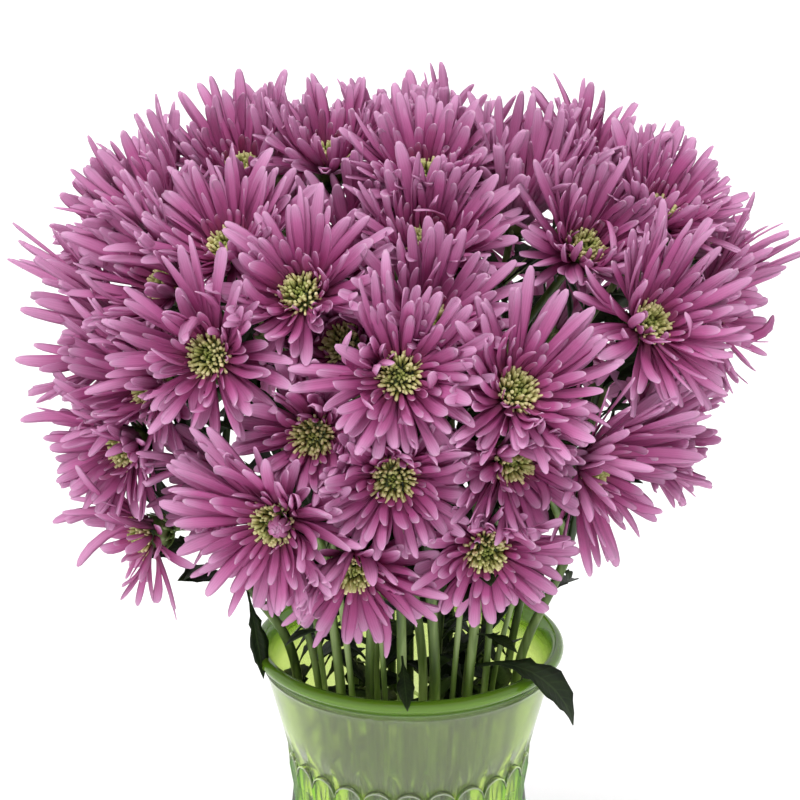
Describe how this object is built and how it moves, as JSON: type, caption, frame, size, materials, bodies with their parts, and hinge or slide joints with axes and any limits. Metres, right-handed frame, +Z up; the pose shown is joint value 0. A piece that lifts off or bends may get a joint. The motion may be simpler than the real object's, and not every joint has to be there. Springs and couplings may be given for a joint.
{
  "type": "vase of spray chrysanthemums",
  "caption": "Pressed green glass vase of water holding leafy green stems with a rounded heap of mauve-pink double chrysanthemum blooms with yellow-green discs.",
  "frame": {"origin": "middle of the vase's foot, on the surface that it stands on", "axes": "+Z up along the vase's axis, -Y towards the side that the picture shows"},
  "size_m": [0.3326, 0.2994, 0.4511],
  "materials": {
    "vase_glass": "clear pressed glass, tinted green",
    "water": "still clear water",
    "stem_green": "living green stems, leaves and yellow-green flower discs",
    "petal_mauve": "soft matt petals, mauve pink, deeper at the root"
  },
  "bodies": {
    "root": {"vase": "vase_glass", "water": "water", "spray_01": "stem_green", "spray_02": "stem_green", "spray_03": "stem_green", "spray_04": "stem_green", "spray_05": "stem_green", "spray_06": "stem_green", "spray_07": "stem_green", "spray_08": "stem_green", "spray_09": "stem_green", "spray_10": "stem_green", "bloom_01": "petal_mauve", "bloom_02": "petal_mauve", "bloom_03": "petal_mauve", "bloom_04": "petal_mauve", "bloom_05": "petal_mauve", "bloom_06": "petal_mauve", "bloom_07": "petal_mauve", "bloom_08": "petal_mauve", "bloom_09": "petal_mauve", "bloom_10": "petal_mauve", "bloom_11": "petal_mauve", "bloom_12": "petal_mauve", "bloom_13": "petal_mauve", "bloom_14": "petal_mauve", "bloom_15": "petal_mauve", "bloom_16": "petal_mauve", "bloom_17": "petal_mauve", "bloom_18": "petal_mauve", "bloom_19": "petal_mauve", "bloom_20": "petal_mauve", "bloom_21": "petal_mauve", "bloom_22": "petal_mauve", "bloom_23": "petal_mauve", "bloom_24": "petal_mauve", "bloom_25": "petal_mauve", "bloom_26": "petal_mauve", "bloom_27": "petal_mauve", "bloom_28": "petal_mauve", "bloom_29": "petal_mauve", "bloom_30": "petal_mauve", "bloom_31": "petal_mauve", "bloom_32": "petal_mauve", "bloom_33": "petal_mauve", "bloom_34": "petal_mauve", "bloom_35": "petal_mauve", "bloom_36": "petal_mauve", "bloom_37": "petal_mauve", "bloom_38": "petal_mauve", "bloom_39": "petal_mauve", "bloom_40": "petal_mauve", "bloom_41": "petal_mauve", "bloom_42": "petal_mauve", "bloom_43": "petal_mauve", "bloom_44": "petal_mauve", "bloom_45": "petal_mauve", "bloom_46": "petal_mauve", "bloom_47": "petal_mauve", "bloom_48": "petal_mauve"}
  },
  "joints": []
}
